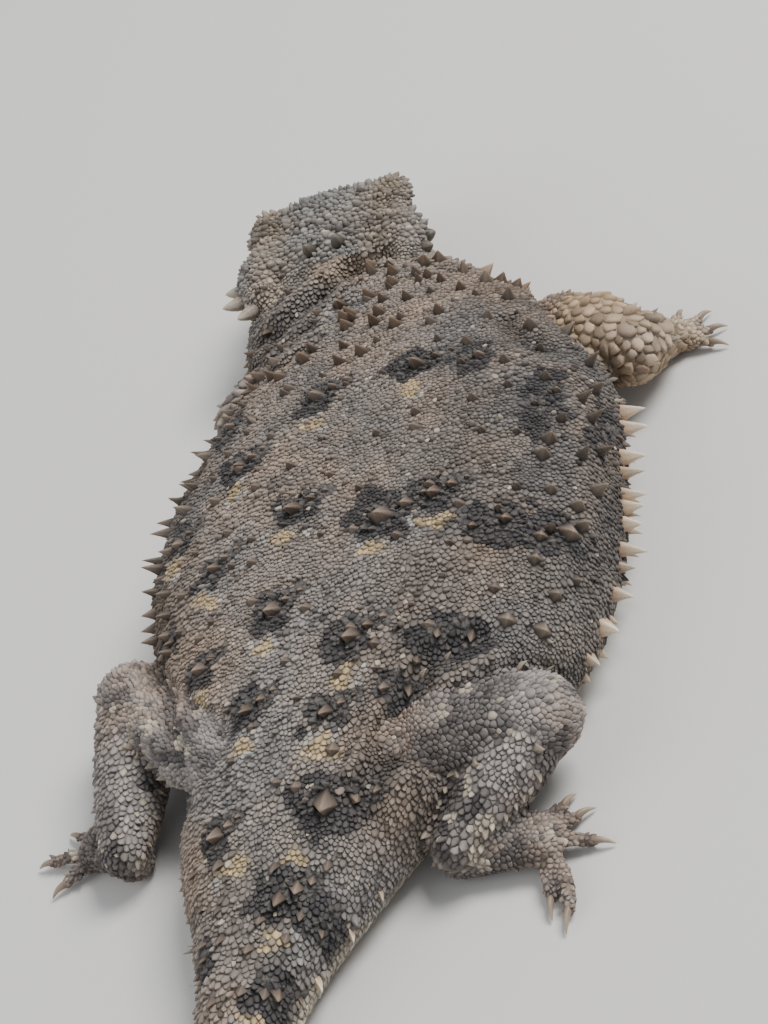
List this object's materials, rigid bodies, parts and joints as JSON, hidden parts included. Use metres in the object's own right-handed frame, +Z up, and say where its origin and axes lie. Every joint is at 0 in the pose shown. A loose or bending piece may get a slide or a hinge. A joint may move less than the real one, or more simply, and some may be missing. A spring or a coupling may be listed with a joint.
{
  "type": "horned lizard",
  "caption": "Short-horned lizard at rest, a still life-size model: broad flat body with a fringe of spines, stubby horns, legs tucked close, short tail.",
  "frame": {"origin": "centre of the model's box on the floor that it rests on", "axes": "+Z up, -Y towards the head, +X towards the animal's left"},
  "size_m": [0.0578, 0.1244, 0.0167],
  "materials": {
    "skin": "dry matt scaly skin, grey-brown with dark blotches edged in dull yellow",
    "horn": "dull horn, pale cream to orange-tan",
    "eye": "wet gloss, near black"
  },
  "bodies": {
    "root": {"head": "skin", "lower_jaw": "skin", "neck": "skin", "torso": "skin", "tail": "skin", "upper_fore_left": "skin", "lower_fore_left": "skin", "foot_fore_left": "skin", "upper_fore_right": "skin", "lower_fore_right": "skin", "foot_fore_right": "skin", "upper_hind_left": "skin", "lower_hind_left": "skin", "foot_hind_left": "skin", "upper_hind_right": "skin", "lower_hind_right": "skin", "foot_hind_right": "skin", "eye_left": "eye", "eye_right": "eye", "horn_occipital_left": "horn", "horn_occipital_right": "horn", "horn_temporal_left_1": "horn", "horn_temporal_left_2": "horn", "horn_temporal_left_3": "horn", "horn_temporal_right_1": "horn", "horn_temporal_right_2": "horn", "horn_temporal_right_3": "horn"}
  },
  "joints": []
}
